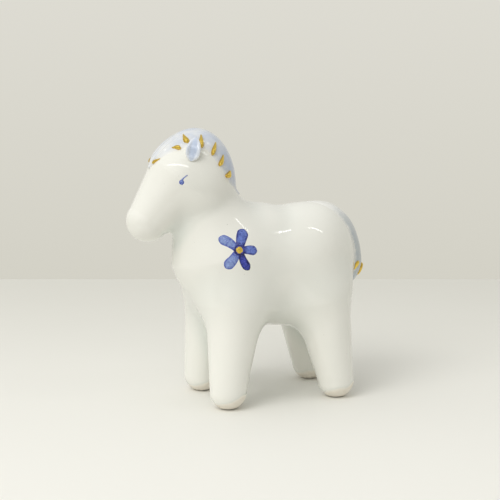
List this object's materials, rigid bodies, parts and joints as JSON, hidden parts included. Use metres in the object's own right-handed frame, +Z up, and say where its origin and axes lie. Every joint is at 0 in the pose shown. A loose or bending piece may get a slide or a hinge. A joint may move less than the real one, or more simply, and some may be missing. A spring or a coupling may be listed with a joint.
{
  "type": "porcelain horse figurine",
  "caption": "Small glazed porcelain horse figurine on four short legs, with a raised blue mane and tail, gilt drops and a painted flower.",
  "frame": {"origin": "middle of the object's length and width, on the plane that the feet stand on", "axes": "+Z up; the head looks along -X; the horse's left flank, which carries the flower, faces -Y"},
  "size_m": [0.0883, 0.0423, 0.0965],
  "materials": {
    "porcelain": "clear glossy glaze over white porcelain, bare bisque at the tips of the feet",
    "blue_glaze": "watery pale blue glaze, darker where it pools",
    "cobalt": "glossy cobalt brush strokes",
    "gilt": "raised burnished gold lustre"
  },
  "bodies": {
    "root": {"body": "porcelain", "mane": "blue_glaze", "tail": "blue_glaze", "ear_left": "blue_glaze", "ear_right": "blue_glaze", "eye_left": "cobalt", "eye_right": "cobalt", "mane_drop_left_1": "gilt", "mane_drop_left_2": "gilt", "mane_drop_left_3": "gilt", "mane_drop_left_4": "gilt", "mane_drop_left_5": "gilt", "mane_drop_left_6": "gilt", "mane_drop_left_7": "gilt", "mane_drop_right_1": "gilt", "mane_drop_right_2": "gilt", "mane_drop_right_3": "gilt", "mane_drop_right_4": "gilt", "mane_drop_right_5": "gilt", "mane_drop_right_6": "gilt", "mane_drop_right_7": "gilt", "tail_drop_left": "gilt", "tail_drop_middle": "gilt", "tail_drop_right": "gilt", "petal_top": "cobalt", "petal_front_top": "cobalt", "petal_front_bottom": "cobalt", "petal_bottom": "cobalt", "petal_back": "cobalt", "flower_eye": "gilt"}
  },
  "joints": []
}
